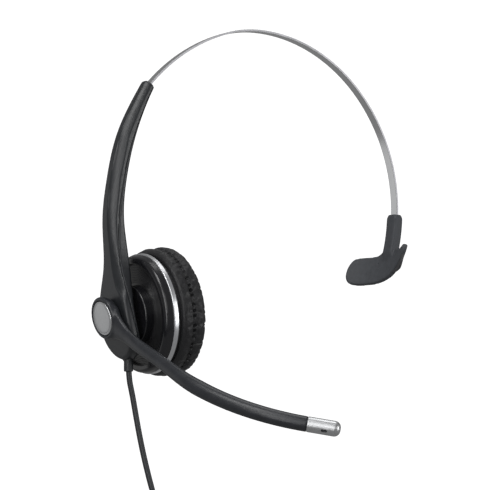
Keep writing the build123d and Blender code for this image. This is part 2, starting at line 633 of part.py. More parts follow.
def cord_tube(name, corners):
    """Plain tube along straight runs joined by arcs as large as the runs allow."""
    points = [Vector(x, y, z - BAND_R) for x, y, z in corners]
    runs = [after - before for before, after in zip(points, points[1:])]
    radii = []
    for before, after in zip(runs, runs[1:]):
        half_turn = math.radians(before.get_angle(after)) / 2
        radii.append(0.45 * min(before.length, after.length) / math.tan(half_turn))
    path = Wire(FilletPolyline(*points, radius=radii).edges())
    tube = sweep(Plane(origin=points[0], z_dir=runs[0]) * Circle(CORD_D / 2), path)
    ideal = path.length * math.pi * CORD_D ** 2 / 4
    print(name, "length", round(path.length, 1), "radii", [round(r, 1) for r in radii])
    print(name, "volume", round(tube.volume, 1), "section times length", round(ideal, 1))
    return tube, path.length


def coil_ring():
    """Outer form of the tied coil: its turns lie three wide and three deep."""
    place = Plane(origin=(COIL[0], COIL[1], COIL[2] - BAND_R), x_dir=(1, 0, 0), z_dir=(0, -1, 0))
    half = COIL_SIDE / 2
    ring = turned(
        [(COIL_R - half, -half), (COIL_R + half, -half), (COIL_R + half, half), (COIL_R - half, half)],
        place, [1.2] * 4,
    )
    angle = math.radians(TIE_DEG)
    out = Vector(math.cos(angle), 0, math.sin(angle))
    across = Plane(origin=place.origin + out * COIL_R, x_dir=out, z_dir=out.cross(Vector(0, 1, 0)))
    hole = RectangleRounded(COIL_SIDE + 0.1, COIL_SIDE + 0.1, 1.25)
    loop = RectangleRounded(COIL_SIDE + 1.5, COIL_SIDE + 1.5, 1.9)
    tie = across.location * extrude(loop - hole, 1.8, both=True)
    tail = across.location * (Pos(COIL_SIDE / 2 + 2.0, 0, 0) * Box(2.6, 1.0, 3.0))
    return ring, tie + tail


def plug_parts():
    """Quick-disconnect plug: sleeve, body with a flat tongue, and contact strips."""
    x, y, z = TAIL[-1]
    ahead = Vector(*TAIL[-1]) - Vector(*TAIL[-2])
    axis = Plane(origin=(x, y, z - BAND_R), x_dir=(0, 1, 0), z_dir=ahead)
    r = CORD_D / 2 + 0.02
    sleeve = turned([(r, -2.0), (2.0, -2.0), (2.9, 9.0), (r, 9.0)], axis)
    sleeve -= turned([(0, 0), (2.0, 0), (2.0, 9.5), (0, 9.5)], axis) - round_bar(axis, r, 0, 9)
    body = extrude(RectangleRounded(PLUG_W, PLUG_H, 2.6), PLUG_BODY)
    body = fillet(body.edges().group_by(Axis.Z)[-1], 1.2)
    body = fillet(body.edges().group_by(Axis.Z)[0], 1.8)
    for step in range(4):
        rib = Pos(0, 0, 6.0 + 2.4 * step) * Box(PLUG_W + 0.6, 5.0, 1.0)
        body += rib
    tongue = Pos(0, 0, PLUG_BODY) * extrude(RectangleRounded(8.2, 4.4, 0.8), PLUG_TONGUE)
    tongue = fillet(tongue.edges().group_by(Axis.Z)[-1], 0.5)
    body += tongue
    body -= Pos(0, 0, -1) * Cylinder(2.2, 4, align=(Align.CENTER, Align.CENTER, Align.MIN))
    contacts = []
    for index in range(4):
        strip = Pos(-2.7 + 1.8 * index, 2.05, PLUG_BODY + 4.5) * Box(1.0, 0.5, 6.0)
        contacts.append(strip)
        body -= strip
    place = axis.location * Pos(0, 0, 8.9)
    return sleeve, place * body, [place * strip for strip in contacts]


def main():
    os.makedirs("parts", exist_ok=True)
    band = headband()
    write("headband_spring", band)
    write("band_stop_block", stop_block())
    pad, core, rivets = temple_parts()
    write("temple_pad", pad - core - band - Compound(rivets))
    write("temple_insert", core)
    write("band_rivets", Compound(rivets))
    outer, inner, screws = arm_parts()
    write("arm_outer_shell", outer)
    write("arm_inner_shell", inner)
    write("arm_screws", Compound(screws))
    write("band_detent_spring", detent_spring())
    write("ball_stud", ball_stud())
    write("ball_stud_nut", ball_stud_nut())
    write("strain_relief", strain_relief())
    axle, clip, washer = pivot_parts()
    write("boom_axle", axle)
    write("axle_retaining_ring", clip)
    write("boom_friction_washer", washer)
    write("boom_jacket", boom_jacket())
    cap = turned([(0, -0.25), (CAP_R, -0.25), (CAP_R, 1.55), (0, 1.55)], HUB, [0, 0.45, 0, 0])
    write("pivot_cap", cap)
    write("boom_core_wire", boom_core(CORE_R, 4.2, BOOM_END - 0.5, CORE_SIDE))
    write("mic_lead", boom_core(LEAD_R, 6.0, BOOM_END - 0.6, -CORE_SIDE))
    shell, capsule, boot = mic_parts()
    write("mic_tip_shell", shell)
    write("mic_capsule", capsule)
    write("mic_boot", boot)
    write("socket_liner", socket_liner())
    drop, drop_length = cord_tube("cord_drop", DROP)
    tail, tail_length = cord_tube("cord_tail", TAIL)
    coiled = CORD_LENGTH - drop_length - tail_length
    print("coil", round(coiled), "mm,", round(coiled / (2 * math.pi * COIL_R), 2), "turns")
    ring, tie = coil_ring()
    sleeve, plug, contacts = plug_parts()
    write("cord_drop", drop)
    write("cord_tail", tail)
    write("cord_coil", ring)
    write("coil_tie", tie)
    write("plug_strain_relief", sleeve)
    write("plug_body", plug)
    write("plug_contacts", Compound(contacts))
    for name, shape in cup_parts().items():
        write(name, shape)


main()
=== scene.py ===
"""Looks of a corded single-ear office headset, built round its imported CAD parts. Metres."""
import json
import math
import random

import bmesh
import bpy
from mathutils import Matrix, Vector


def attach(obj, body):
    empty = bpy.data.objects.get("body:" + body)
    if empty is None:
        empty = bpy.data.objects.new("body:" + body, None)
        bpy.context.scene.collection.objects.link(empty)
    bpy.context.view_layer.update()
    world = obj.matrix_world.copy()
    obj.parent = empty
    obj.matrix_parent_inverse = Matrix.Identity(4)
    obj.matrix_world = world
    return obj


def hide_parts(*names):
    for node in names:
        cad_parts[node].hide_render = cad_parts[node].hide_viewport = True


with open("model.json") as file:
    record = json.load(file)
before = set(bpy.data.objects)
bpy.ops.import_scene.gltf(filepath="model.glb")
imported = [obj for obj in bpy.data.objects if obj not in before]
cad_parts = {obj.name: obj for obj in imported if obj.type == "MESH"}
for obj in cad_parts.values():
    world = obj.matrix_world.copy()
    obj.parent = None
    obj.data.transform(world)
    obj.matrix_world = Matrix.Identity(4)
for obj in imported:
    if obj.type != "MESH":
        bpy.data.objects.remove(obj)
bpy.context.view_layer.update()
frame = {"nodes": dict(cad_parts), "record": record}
nodes = frame["nodes"]
MM = 0.001


def unit(value):
    """Value held between 0 and 1."""
    return min(max(value, 0.0), 1.0)


def bell(value, width):
    """1 at 0, falling smoothly to 0 either side."""
    return math.exp(-(value / width) ** 2)


# ---------------------------------------------------------------- frames of the part

# Centre of the band's arc and centre of the boom pivot's cap, in mm
RING_CENTRE = Vector((0, 0, -80.5))
PIVOT = Vector((-84.5, 0, -136.4))
# Axes of the ear cup: ahead, down its face and inward
CUP_LEAN = math.radians(6.4)
CUP_X = Vector((0, -1, 0))
CUP_Z = Vector((math.cos(CUP_LEAN), 0, math.sin(CUP_LEAN)))
CUP_Y = CUP_Z.cross(CUP_X)
# The pivot's own axis inward, and the boom's directions along and across it
HUB_LEAN = math.radians(12.2)
HUB_Z = Vector((math.cos(HUB_LEAN), 0, math.sin(HUB_LEAN)))
HUB_Y = HUB_Z.cross(CUP_X)
BOOM_DROP = math.radians(27)
BOOM_AHEAD = CUP_X * math.cos(BOOM_DROP) + HUB_Y * math.sin(BOOM_DROP)
BOOM_UP = CUP_X * math.sin(BOOM_DROP) - HUB_Y * math.cos(BOOM_DROP)


def ring_mm(x, y, z):
    """Point given from the centre of the band's arc, in metres in the part's frame."""
    return (Vector((x, y, z)) + RING_CENTRE) * MM


def cup_mm(radius, turn, height):
    """Point about the ear cup's axis, in metres."""
    around = CUP_X * math.cos(turn) + CUP_Y * math.sin(turn)
    return (PIVOT + around * radius + CUP_Z * height) * MM


# ---------------------------------------------------------------- camera

VIEW_TURN = math.radians(-34.3)
VIEW_RISE = math.radians(-5.01)
VIEW_DISTANCE = 0.9
# How far the point looked at lies left of the band's centre and below it
AIM_LEFT = 0.00667
AIM_DOWN = 0.02007
back = Vector((
    math.sin(VIEW_TURN) * math.cos(VIEW_RISE),
    -math.cos(VIEW_TURN) * math.cos(VIEW_RISE),
    math.sin(VIEW_RISE),
))
right = Vector((math.cos(VIEW_TURN), math.sin(VIEW_TURN), 0))
camera_data = bpy.data.cameras.new("camera")
camera = bpy.data.objects.new("camera", camera_data)
bpy.context.scene.collection.objects.link(camera)
camera_data.lens = 140.7
camera_data.sensor_width = 36
camera_data.clip_start = 0.02
camera_data.clip_end = 30
camera.location = RING_CENTRE * MM + back * VIEW_DISTANCE
aim = RING_CENTRE * MM - right * AIM_LEFT - back.cross(right) * AIM_DOWN
camera.rotation_mode = "QUATERNION"
camera.rotation_quaternion = (aim - camera.location).to_track_quat("-Z", "Y")
bpy.context.scene.camera = camera


# ---------------------------------------------------------------- materials

def nodes_of(material):
    """The material's node tree, its shader, and object coordinates."""
    tree = material.node_tree
    shader = tree.nodes["Principled BSDF"]
    place = tree.nodes.new("ShaderNodeTexCoord").outputs["Object"]
    return tree, shader, place


def stretched(tree, place, scale):
    """Coordinates stretched along each axis."""
    mapping = tree.nodes.new("ShaderNodeMapping")
    mapping.inputs["Scale"].default_value = scale
    tree.links.new(place, mapping.inputs["Vector"])
    return mapping.outputs["Vector"]


def noise(tree, place, scale, detail=3.0, rough=0.55, distortion=0.0):
    """Noise between 0 and 1; scale is in features per metre."""
    made = tree.nodes.new("ShaderNodeTexNoise")
    made.inputs["Scale"].default_value = scale
    made.inputs["Detail"].default_value = detail
    made.inputs["Roughness"].default_value = rough
    made.inputs["Distortion"].default_value = distortion
    tree.links.new(place, made.inputs["Vector"])
    return made.outputs["Fac"]


def cells(tree, place, scale, feature="F1"):
    """Distance in a Voronoi pattern."""
    made = tree.nodes.new("ShaderNodeTexVoronoi")
    made.feature = feature
    made.inputs["Scale"].default_value = scale
    tree.links.new(place, made.inputs["Vector"])
    return made.outputs["Distance"]


def spread(tree, value, low, high, lowest=0.0, highest=1.0):
    """Value between low and high, spread over lowest to highest."""
    made = tree.nodes.new("ShaderNodeMapRange")
    made.inputs["From Min"].default_value = low
    made.inputs["From Max"].default_value = high
    made.inputs["To Min"].default_value = lowest
    made.inputs["To Max"].default_value = highest
    tree.links.new(value, made.inputs["Value"])
    return made.outputs["Result"]


def math_node(tree, operation, first, second=None):
    """One arithmetic node."""
    made = tree.nodes.new("ShaderNodeMath")
    made.operation = operation
    for socket, value in zip(made.inputs, (first, second)):
        if isinstance(value, (int, float)):
            socket.default_value = value
        elif value is not None:
            tree.links.new(value, socket)
    return made.outputs[0]


def tint(tree, shader, value, dark, light):
    """Base colour between two tones."""
    ramp = tree.nodes.new("ShaderNodeValToRGB")
    ramp.color_ramp.elements[0].color = (*dark, 1)
    ramp.color_ramp.elements[1].color = (*light, 1)
    tree.links.new(value, ramp.inputs["Fac"])
    tree.links.new(ramp.outputs["Color"], shader.inputs["Base Color"])


def bump(tree, shader, height, depth, before=None):
    """Bump of a height in metres, over another bump if there is one."""
    made = tree.nodes.new("ShaderNodeBump")
    made.inputs["Strength"].default_value = 1.0
    made.inputs["Distance"].default_value = depth
    tree.links.new(height, made.inputs["Height"])
    if before is not None:
        tree.links.new(before, made.inputs["Normal"])
    tree.links.new(made.outputs["Normal"], shader.inputs["Normal"])
    return made.outputs["Normal"]


def mottled(tree, first, first_share, second):
    """Two patterns mixed, the first by its share."""
    return math_node(
        tree, "ADD",
        math_node(tree, "MULTIPLY", first, first_share),
        math_node(tree, "MULTIPLY", second, 1 - first_share),
    )


def roughen(tree, shader, value, low, high):
    """Roughness from low to high, following a pattern."""
    tree.links.new(spread(tree, value, 0.3, 0.7, low, high), shader.inputs["Roughness"])


def shader_for(name, metallic=0.0, coat=0.0, specular=0.5):
    """New material with its constant values on the shader's own sockets."""
    material = bpy.data.materials.new(name)
    material.use_nodes = True
    tree, shader, place = nodes_of(material)
    shader.inputs["Metallic"].default_value = metallic
    shader.inputs["Coat Weight"].default_value = coat
    shader.inputs["Coat Roughness"].default_value = 0.12
    shader.inputs["Specular IOR Level"].default_value = specular
    return material, tree, shader, place


def grained(name, tone, roughness, grain, depth, coat=0.0, cloud=260):
    """Moulded surface: fine grain, cloudy tone and roughness, and a few handling marks."""
    material, tree, shader, place = shader_for(name, coat=coat)
    clouds = noise(tree, place, cloud, 5, 0.6)
    dark, light = [[c * share for c in tone] for share in (0.86, 1.16)]
    tint(tree, shader, spread(tree, clouds, 0.3, 0.7), dark, light)
    marks = noise(tree, stretched(tree, place, (1.0, 1.0, 0.35)), 900, 6, 0.7, 0.6)
    roughen(tree, shader, mottled(tree, clouds, 0.6, marks), roughness * 0.86, roughness * 1.16)
    first = bump(tree, shader, noise(tree, place, grain, 2, 0.6), depth)
    bump(tree, shader, clouds, depth * 0.5, first)
    return material


def brushed(name, tone, roughness, streaking, depth=0.000004):
    """Brushed metal; streaking is a scale for each axis, or makes the streaks' coordinates."""
    material, tree, shader, place = shader_for(name, metallic=1.0)
    along = streaking(tree, place) if callable(streaking) else stretched(tree, place, streaking)
    streaks = noise(tree, along, 1.0, 4, 0.7)
    clouds = noise(tree, place, 180, 3)
    dark, light = [[min(c * share, 1) for c in tone] for share in (0.84, 1.1)]
    tint(tree, shader, spread(tree, streaks, 0.25, 0.75), dark, light)
    roughen(tree, shader, mottled(tree, streaks, 0.7, clouds), roughness * 0.75, roughness * 1.3)
    bump(tree, shader, streaks, depth)
    return material


def vector_node(tree, operation, place, other=None):
    """One vector node."""
    made = tree.nodes.new("ShaderNodeVectorMath")
    made.operation = operation
    if other is not None:
        made.inputs[1].default_value = other
    tree.links.new(place, made.inputs[0])
    return made.outputs


def cup_radius(tree, place):
    """Distance from the ear cup's axis, and distance along it, in metres."""
    shifted = vector_node(tree, "SUBTRACT", place, PIVOT * MM)[0]
    along = vector_node(tree, "DOT_PRODUCT", shifted, CUP_Z)["Value"]
    total = vector_node(tree, "LENGTH", shifted)["Value"]
    square = math_node(
        tree, "SUBTRACT",
        math_node(tree, "POWER", total, 2.0),
        math_node(tree, "POWER", along, 2.0),
    )
    return math_node(tree, "SQRT", math_node(tree, "MAXIMUM", square, 0.0)), along


def turned_streaks(radial, axial):
    """Coordinates whose streaks run round the cup's axis."""
    def coordinates(tree, place):
        radius, along = cup_radius(tree, place)
        joined = tree.nodes.new("ShaderNodeCombineXYZ")
        tree.links.new(math_node(tree, "MULTIPLY", radius, radial), joined.inputs[0])
        tree.links.new(math_node(tree, "MULTIPLY", along, axial), joined.inputs[1])
        return joined.outputs[0]
    return coordinates


def blend_in(tree, shader, share, colour):
    """Base colour taken towards another where the share is 1."""
    mixing = tree.nodes.new("ShaderNodeMix")
    mixing.data_type = "RGBA"
    tree.links.new(share, mixing.inputs[0])
    tree.links.new(shader.inputs["Base Color"].links[0].from_socket, mixing.inputs[6])
    mixing.inputs[7].default_value = colour
    tree.links.new(mixing.outputs[2], shader.inputs["Base Color"])


def paint_shade_spot(material, centre, reach):
    """Painted shade: dark spot round a point of the material."""
    tree, shader, place = nodes_of(material)
    away = vector_node(tree, "DISTANCE", place, centre)["Value"]
    near = spread(tree, away, reach * 0.5, reach * 1.1, 1.0, 0.0)
    # Near-black painted shade, full at the spot's middle and fading out by its reach
    blend_in(tree, shader, near, (0.004, 0.004, 0.005, 1))


RING_PITCH = 0.001


def grooved_gloss():
    """Black plastic turned with very fine rings."""
    material, tree, shader, place = shader_for("cup_disc")
    radius, _ = cup_radius(tree, place)
    rings = math_node(tree, "SINE", math_node(tree, "MULTIPLY", radius, 2 * math.pi / RING_PITCH))
    clouds = noise(tree, place, 400, 4)
    tint(tree, shader, clouds, (0.012, 0.012, 0.013), (0.024, 0.024, 0.026))
    roughen(tree, shader, clouds, 0.28, 0.36)
    bump(tree, shader, rings, 0.000012)
    return material


def leather():
    """Soft pebbled leatherette with creases."""
    material, tree, shader, place = shader_for("leatherette", specular=0.38)
    shader.inputs["Sheen Weight"].default_value = 0.05
    pebbles = cells(tree, place, 2300, "SMOOTH_F1")
    wrinkles = noise(tree, place, 420, 5, 0.65, 0.8)
    tint(tree, shader, wrinkles, (0.007, 0.007, 0.008), (0.020, 0.020, 0.022))
    roughen(tree, shader, wrinkles, 0.34, 0.52)
    first = bump(tree, shader, pebbles, 0.00009)
    bump(tree, shader, wrinkles, 0.00022, first)
    return material


def foam():
    """Open-celled foam under a fine knit."""
    material, tree, shader, place = shader_for("scrim_foam", specular=0.25)
    shader.inputs["Sheen Weight"].default_value = 0.15
    pores = cells(tree, place, 1900)
    fibres = noise(tree, place, 5200, 3)
    shades = spread(tree, pores, 0.1, 0.6)
    tint(tree, shader, shades, (0.006, 0.006, 0.007), (0.04, 0.04, 0.043))
    roughen(tree, shader, fibres, 0.8, 0.98)
    first = bump(tree, shader, pores, 0.0003)
    bump(tree, shader, fibres, 0.00008, first)
    return material


BAND_HALF = 0.0023
# The painted shade along each edge of the band starts and is full this far in from the band's side
SHADED_EDGE_STARTS = 0.00022
SHADED_EDGE_FULL = 0.00012


def spring_steel():
    """Bright rolled strip whose edges are darkened with painted shade."""
    material = brushed("spring_steel", (0.83, 0.84, 0.85), 0.20, (60, 5200, 60))
    tree, shader, place = nodes_of(material)
    parts = tree.nodes.new("ShaderNodeSeparateXYZ")
    tree.links.new(place, parts.inputs[0])
    aside = math_node(tree, "ABSOLUTE", parts.outputs[1])
    # Painted shade: both edge strips of the band are taken towards dark grey
    edge = spread(tree, aside, BAND_HALF - SHADED_EDGE_STARTS, BAND_HALF - SHADED_EDGE_FULL)
    blend_in(tree, shader, edge, (0.13, 0.13, 0.135, 1))
    return material


# Tone, roughness, grain, depth of the grain, and what differs from the usual moulding
MOULDED = {
    "inner_plastic": ((0.045, 0.045, 0.048), 0.5, 5200, 0.00003, {}),
    "temple_rubber": ((0.058, 0.062, 0.070), 0.62, 3600, 0.00005, {"cloud": 520}),
    "arm_plastic": ((0.020, 0.022, 0.025), 0.34, 6200, 0.000016, {}),
    "boom_rubber": ((0.026, 0.028, 0.033), 0.34, 6200, 0.000018, {}),
    "cup_gloss": ((0.010, 0.010, 0.012), 0.24, 5200, 0.000004, {"coat": 0.2}),
    "film": ((0.35, 0.30, 0.20), 0.25, 3600, 0.00001, {"coat": 0.4}),
    "board": ((0.02, 0.13, 0.05), 0.35, 2600, 0.00002, {"coat": 0.3}),
    "cord_rubber": ((0.026, 0.028, 0.031), 0.44, 5200, 0.00002, {}),
    "tie_plastic": ((0.02, 0.02, 0.021), 0.5, 4200, 0.00002, {}),
    "plug_plastic": ((0.021, 0.022, 0.024), 0.42, 5200, 0.00003, {}),
}
# Tone, roughness and streaks
METALS = {
    "steel": ((0.55, 0.55, 0.56), 0.30, (900, 900, 4200)),
    "silver_cap": ((0.68, 0.69, 0.70), 0.36, (700, 3600, 700)),
    "aluminium_can": ((0.62, 0.62, 0.62), 0.28, (700, 700, 3600)),
    "trim_silver": ((0.80, 0.81, 0.83), 0.33, turned_streaks(9000, 9000)),
    "magnet_iron": ((0.25, 0.25, 0.26), 0.4, (1500, 1500, 1500)),
    "copper_coil": ((0.62, 0.30, 0.14), 0.3, turned_streaks(400, 24000), 0.00002),
    "contact_gold": ((0.85, 0.62, 0.25), 0.25, (3000, 800, 800)),
}
MATERIALS = {
    "spring_steel": spring_steel(),
    "cup_disc": grooved_gloss(),
    "leatherette": leather(),
    "scrim_foam": foam(),
}
for slot, (*look, different) in MOULDED.items():
    MATERIALS[slot] = grained(slot, *look, **different)
for slot, look in METALS.items():
    MATERIALS[slot] = brushed(slot, *look)
for part in frame["record"]["subparts"]:
    body_mesh = nodes[part["node"]].data
    body_mesh.materials.clear()
    body_mesh.materials.append(MATERIALS[part["material_slot"]])


# ---------------------------------------------------------------- cord

CORD_D = 2.6
COIL = (-50.0, -11.5, -166.0)
# Corners of the cord's route from the centre of the band's arc, above and below its tied coil
DROP = (
    (-71.0, -0.5, -73.0), (-71.0, -0.5, -81.5), (-69.3, -1.2, -89.8),
    (-68.2, -2.4, -98.9), (-67.1, -4.0, -108.4), (-65.8, -5.8, -118.0),
    (-63.7, -8.2, -130.0), (-61.4, -10.4, -140.6), (-56.0, -11.3, -147.4),
)
TAIL = ((-31.6, -14.4, -168.0), (-30.8, -14.7, -176.0))
# Angles at which the coil starts and ends, control points to a turn, the shares of a turn in
# which the cord keeps its place and changes it, and the radius in cord diameters
COIL_START = 78.0
COIL_END = 18.0
PER_TURN = 16
STAYS = 0.72
CROSSES = 0.28
COIL_RADIUS = 5.5
# Where each turn lies in the coil's section, in cord diameters out from COIL_RADIUS and across
PLACES = ((1, 0), (1, 1), (0, 1), (-1, 1), (-1, 0), (-1, -1), (0, -1), (1, -1))


def coil_points():
    """Control points of the tied turns, clockwise seen from the front."""
    turns = len(PLACES) + (COIL_START - COIL_END) / 360
    count = round(turns * PER_TURN)
    outset = 1 / math.cos(math.pi / PER_TURN)
    points = []
    for index in range(count + 1):
        share = index / count * len(PLACES)
        place = min(int(share), len(PLACES) - 1)
        after = min(place + 1, len(PLACES) - 1)
        blend = max(0.0, (share - place - STAYS) / CROSSES) if after != place else 0.0
        blend = blend * blend * (3 - 2 * blend)
        out = PLACES[place][0] * (1 - blend) + PLACES[after][0] * blend
        across = PLACES[place][1] * (1 - blend) + PLACES[after][1] * blend
        radius = (COIL_RADIUS + out) * CORD_D * outset
        angle = math.radians(COIL_START - index / count * turns * 360)
        points.append((
            COIL[0] + radius * math.cos(angle),
            COIL[1] + across * CORD_D,
            COIL[2] + radius * math.sin(angle),
        ))
    return points


def build_cord():
    """One smooth curve from the arm, through the coil, to the plug."""
    curve = bpy.data.curves.new("cord", "CURVE")
    curve.dimensions = "3D"
    curve.resolution_u = 8
    curve.bevel_depth = CORD_D / 2 * MM
    curve.bevel_resolution = 5
    curve.use_fill_caps = True
    points = [*DROP, *coil_points(), *TAIL]
    spline = curve.splines.new("NURBS")
    spline.points.add(len(points) - 1)
    for target, corner in zip(spline.points, points):
        target.co = (*ring_mm(*corner), 1)
    spline.order_u = 3
    spline.use_endpoint_u = True
    cord = bpy.data.objects.new("cord", curve)
    bpy.context.scene.collection.objects.link(cord)
    curve.materials.append(MATERIALS["cord_rubber"])
    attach(cord, "arm")
    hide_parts("cord_drop", "cord_coil", "cord_tail")


build_cord()


# ---------------------------------------------------------------- mesh helpers

def new_object(name, vertices, faces):
    """Smooth mesh object from points in metres."""
    mesh = bpy.data.meshes.new(name)
    mesh.from_pydata([tuple(v) for v in vertices], [], faces)
    mesh.validate()
    made = bpy.data.objects.new(name, mesh)
    bpy.context.scene.collection.objects.link(made)
    for polygon in mesh.polygons:
        polygon.use_smooth = True
    return made


def grid_faces(rows, columns, close_rows=True, close_columns=True):
    """Quads of a grid of points, wrapped round either way."""
    faces = []
    for row in range(rows if close_rows else rows - 1):
        for column in range(columns if close_columns else columns - 1):
            below = (row + 1) % rows
            beside = (column + 1) % columns
            faces.append((
                row * columns + column, row * columns + beside,
                below * columns + beside, below * columns + column,
            ))
    return faces


def settle(made):
    """Applies every modifier."""
    graph = bpy.context.evaluated_depsgraph_get()
    mesh = bpy.data.meshes.new_from_object(made.evaluated_get(graph))
    made.modifiers.clear()
    old = made.data
    made.data = mesh
    bpy.data.meshes.remove(old)


def outward(made):
    """Turns every face outward and shades it smooth."""
    work = bmesh.new()
    work.from_mesh(made.data)
    bmesh.ops.recalc_face_normals(work, faces=work.faces)
    work.to_mesh(made.data)
    work.free()
    for polygon in made.data.polygons:
        polygon.use_smooth = True


def finish_piece(made, body, slot, *replaced):
    """Puts a piece on its body, with its material and the CAD nodes that it stands for."""
    made.data.materials.clear()
    made.data.materials.append(MATERIALS[slot])
    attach(made, body)
    if replaced:
        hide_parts(*replaced)
    return made


# ---------------------------------------------------------------- arm and boom covers

# Height from the band's centre, then the arm's outer face, its half width, the half width
# of its flat outer band, and how deep the sloping facet beside that band runs, in mm
ARM_FORM = (
    (56.0, -61.0, 3.2, 1.3, 2.6),
    (49.0, -65.2, 3.3, 1.4, 2.7),
    (39.6, -70.3, 3.5, 1.4, 2.8),
    (26.4, -76.3, 3.75, 1.4, 2.8),
    (6.4, -81.0, 4.1, 1.3, 2.8),
    (-11.0, -82.8, 4.4, 1.9, 2.6),
    (-22.0, -82.3, 4.9, 2.4, 2.4),
    (-33.0, -81.0, 6.5, 3.0, 2.4),
    (-41.5, -80.1, 9.3, 6.0, 2.0),
    (-48.0, -79.6, 11.6, 10.6, 1.2),
)
# The facet ends at this height and fades in over FACET_FADE above it
FACET_END = -49
FACET_FADE = 6


def arm_form(height):
    """Row of ARM_FORM for any height."""
    for above, below in zip(ARM_FORM, ARM_FORM[1:]):
        if height >= below[0]:
            share = unit((above[0] - height) / (above[0] - below[0]))
            return [a + (b - a) * share for a, b in zip(above, below)]
    return list(ARM_FORM[-1])


def cover_of(name, node, voxel, softness):
    """Smoothed copy of a CAD node's surface, fine enough to shape."""
    made = bpy.data.objects.new(name, nodes[node].data.copy())
    bpy.context.scene.collection.objects.link(made)
    fine = made.modifiers.new("fine", "REMESH")
    fine.mode = "VOXEL"
    fine.voxel_size = voxel * MM
    soft = made.modifiers.new("soft", "SMOOTH")
    soft.factor = 0.5
    soft.iterations = softness
    settle(made)
    return made


def shape_arm(made):
    """Slopes the arm's front outer corner into a soft facet."""
    for vertex in made.data.vertices:
        x, y, z = vertex.co / MM - RING_CENTRE
        if z < FACET_END or y >= 0:
            continue
        _, face, half, flat, deep = arm_form(z)
        depth = max(x - face, 0.0) / deep
        if depth < 1.3:
            share = min(depth / 1.15, 1.0)
            allowed = flat + (half - flat) * share ** 0.85
            fade = unit((z - FACET_END) / FACET_FADE)
            vertex.co.y = y * (1 - fade + fade * min(allowed / half, 1.0)) * MM


def build_arm():
    """Arm mouldings with their soft facets."""
    for name, node in (("arm_outer_cover", "arm_outer_shell"), ("arm_inner_cover", "arm_inner_shell")):
        made = cover_of(name, node, 0.4, 3)
        shape_arm(made)
        outward(made)
        finish_piece(made, "arm", "arm_plastic", node)


# The boom's middle lies this deep, in mm inward from the cap's face
BOOM_DEPTH = 2.5
# Radius of the pivot ring and how much of it is drawn in
HUB_REACH = 10.4
HUB_TAPER = 0.15
# How much the boom's root loses up and down and in depth, and how far it drops at ROOT_MIDDLE
SLIM_UP = 0.16
SLIM_DEEP = 0.36
ROOT_DROP = 1.35
ROOT_MIDDLE = 24.0
ROOT_WIDTH = 14.0
# Distances from the pivot between which the boom's neck is smoothed
NECK_FROM = 8.6
NECK_TO = 30.0


def shape_hub(made):
    """Draws the pivot ring in towards the arm and flattens the boom's root."""
    for vertex in made.data.vertices:
        local = vertex.co / MM - PIVOT
        ahead, up, deep = local.dot(BOOM_AHEAD), local.dot(BOOM_UP), local.dot(HUB_Z)
        if math.hypot(ahead, up) < HUB_REACH:
            inward = unit((deep - 1.2) / 3.8) * unit((7.5 - ahead) / 4.0)
            ahead *= 1 - HUB_TAPER * inward
            up *= 1 - HUB_TAPER * inward
        slim = unit((ahead - 7.0) / 11.0) * unit((70.0 - ahead) / 26.0)
        drop = ROOT_DROP * bell(ahead - ROOT_MIDDLE, ROOT_WIDTH) * unit((ahead - 4.0) / 8.0)
        up = up * (1 - SLIM_UP * slim) - drop
        deep = BOOM_DEPTH + (deep - BOOM_DEPTH) * (1 - SLIM_DEEP * slim)
        vertex.co = (PIVOT + BOOM_AHEAD * ahead + BOOM_UP * up + HUB_Z * deep) * MM


def build_boom():
    """Boom jacket whose neck flows out of the pivot ring."""
    made = cover_of("boom_cover", "boom_jacket", 0.36, 2)
    shape_hub(made)
    near = made.vertex_groups.new(name="neck")
    for vertex in made.data.vertices:
        reach = (vertex.co / MM - PIVOT).length
        weight = unit((reach - NECK_FROM) / 2.0) * unit((NECK_TO - reach) / 9.0)
        if weight:
            near.add([vertex.index], weight, "REPLACE")
    flow = made.modifiers.new("flow", "SMOOTH")
    flow.vertex_group = "neck"
    flow.factor = 0.5
    flow.iterations = 60
    settle(made)
    outward(made)
    finish_piece(made, "boom", "boom_rubber", "boom_jacket")


# Half section of the pivot's silver cap: radius, and depth inward from its face
CAP_SECTION = (
    (0.05, -0.25), (1.6, -0.24), (3.2, -0.2), (4.8, -0.12), (6.2, 0.0),
    (6.75, 0.08), (6.9, 0.2), (7.0, 0.1), (7.15, 0.02), (7.35, 0.04),
    (7.55, 0.16), (7.68, 0.4), (7.7, 0.8), (7.7, 1.55), (0.05, 1.55),
)
CAP_TURNS = 120


def build_cap():
    """Slightly domed cap with a narrow raised rim."""
    vertices = []
    for index in range(CAP_TURNS):
        angle = 2 * math.pi * index / CAP_TURNS
        around = CUP_X * math.cos(angle) + HUB_Y * math.sin(angle)
        for radius, depth in CAP_SECTION:
            vertices.append((PIVOT + around * radius + HUB_Z * depth) * MM)
    count = len(CAP_SECTION)
    faces = grid_faces(CAP_TURNS, count, True, False)
    faces.append(tuple(row * count for row in range(CAP_TURNS)))
    faces.append(tuple(row * count + count - 1 for row in reversed(range(CAP_TURNS))))
    made = new_object("pivot_cap_face", vertices, faces)
    outward(made)
    finish_piece(made, "boom", "silver_cap", "pivot_cap")


build_arm()
build_boom()
build_cap()


# ---------------------------------------------------------------- ear cushion

CUSHION_TURNS = 176
# Section of the cushion about the cup's axis, as (radius, height), from the mounting lip
# round the outside to the seam, over the face and down into the hole
CUSHION_SECTION = (
    (22.0, 26.45), (25.6, 26.4), (26.5, 25.0), (27.8, 25.1), (28.6, 26.3), (28.9, 28.0),
    (28.8, 29.5), (28.4, 30.6), (28.85, 31.5), (29.0, 32.9), (28.6, 34.6), (27.5, 36.1),
    (25.6, 37.1), (23.0, 37.4), (20.4, 37.1), (17.9, 36.0), (15.7, 34.1), (14.4, 31.8),
    (13.9, 29.9), (14.2, 28.1), (16.4, 27.2), (19.0, 26.7),
)
SEAM_AT = (28.5, 30.6)
# The cover above this height is a little uneven, by up to UNEVEN
LOOSE_FROM = 28
UNEVEN = 0.06
